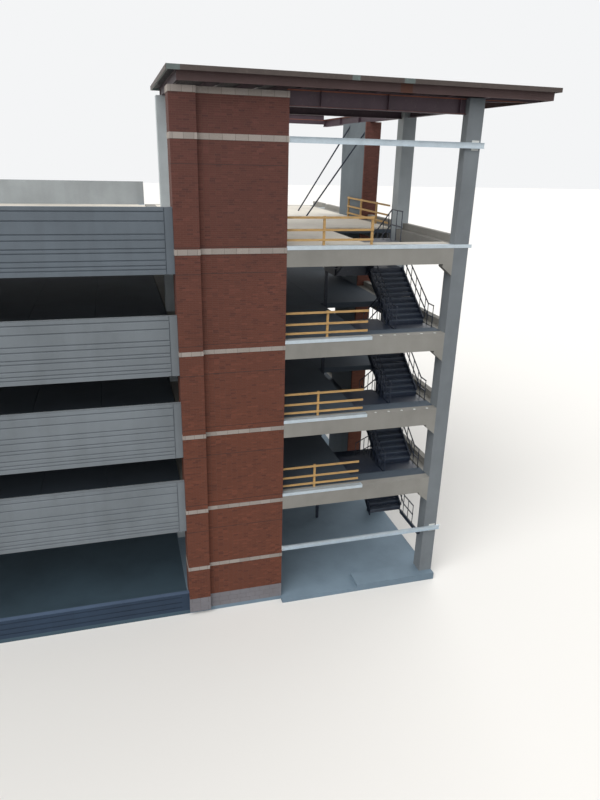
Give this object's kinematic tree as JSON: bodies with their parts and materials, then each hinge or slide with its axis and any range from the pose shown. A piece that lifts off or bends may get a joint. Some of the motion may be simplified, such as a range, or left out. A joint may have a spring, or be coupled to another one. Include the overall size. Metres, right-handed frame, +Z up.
{
  "type": "multi storey car park",
  "caption": "Corner of an open precast concrete car park under construction, with ribbed parapet decks, a brick and concrete stair hall, steel stairs and a steel canopy roof",
  "frame": {"origin": "middle of the underside of the ground slab, which rests on the ground", "axes": "+X along the front to the right, +Y from the front into the building, +Z up"},
  "size_m": [35.44, 20.55, 20.57],
  "materials": {
    "precast_concrete": "matte cast concrete",
    "slab_concrete": "floated concrete",
    "brick": "fired clay brick with mortar joints",
    "band_stone": "smooth cast stone",
    "base_stone": "rough split stone",
    "galvanised_steel": "galvanised",
    "dark_paint": "satin dark paint",
    "roof_steel": "matte red oxide primer",
    "timber": "bare sawn softwood"
  },
  "bodies": {
    "root": {"column_plinth": "slab_concrete", "corbels": "precast_concrete", "corner_column": "precast_concrete", "deck_columns": "precast_concrete", "deck_strips": "slab_concrete", "deck_tees": "slab_concrete", "east_beams": "precast_concrete", "east_pier_brick": "brick", "east_pier_wall": "precast_concrete", "edge_angles": "galvanised_steel", "front_beams": "precast_concrete", "front_curb": "slab_concrete", "front_girder": "roof_steel", "front_panels": "precast_concrete", "girt_clips": "galvanised_steel", "girts": "galvanised_steel", "ground_slab": "slab_concrete", "guard_posts": "timber", "guard_rails": "timber", "hall_columns": "precast_concrete", "hall_floors": "slab_concrete", "inner_beams": "precast_concrete", "low_walls": "precast_concrete", "panel_ledges": "precast_concrete", "pier_bands": "band_stone", "pier_base": "base_stone", "pier_brackets": "precast_concrete", "pier_brick": "brick", "pipe_braces": "dark_paint", "rear_girders": "roof_steel", "rear_panels": "precast_concrete", "roof_brackets": "roof_steel", "roof_end_rim": "roof_steel", "roof_fascia": "roof_steel", "roof_joists": "roof_steel", "roof_post": "roof_steel", "roof_rims": "roof_steel", "roof_sheet": "galvanised_steel", "stair_balusters": "dark_paint", "stair_landings": "dark_paint", "stair_platforms": "dark_paint", "stair_posts": "dark_paint", "stair_rails": "dark_paint", "stair_risers": "dark_paint", "stair_stringers": "dark_paint", "stair_treads": "dark_paint", "west_panels": "precast_concrete"}
  },
  "joints": []
}
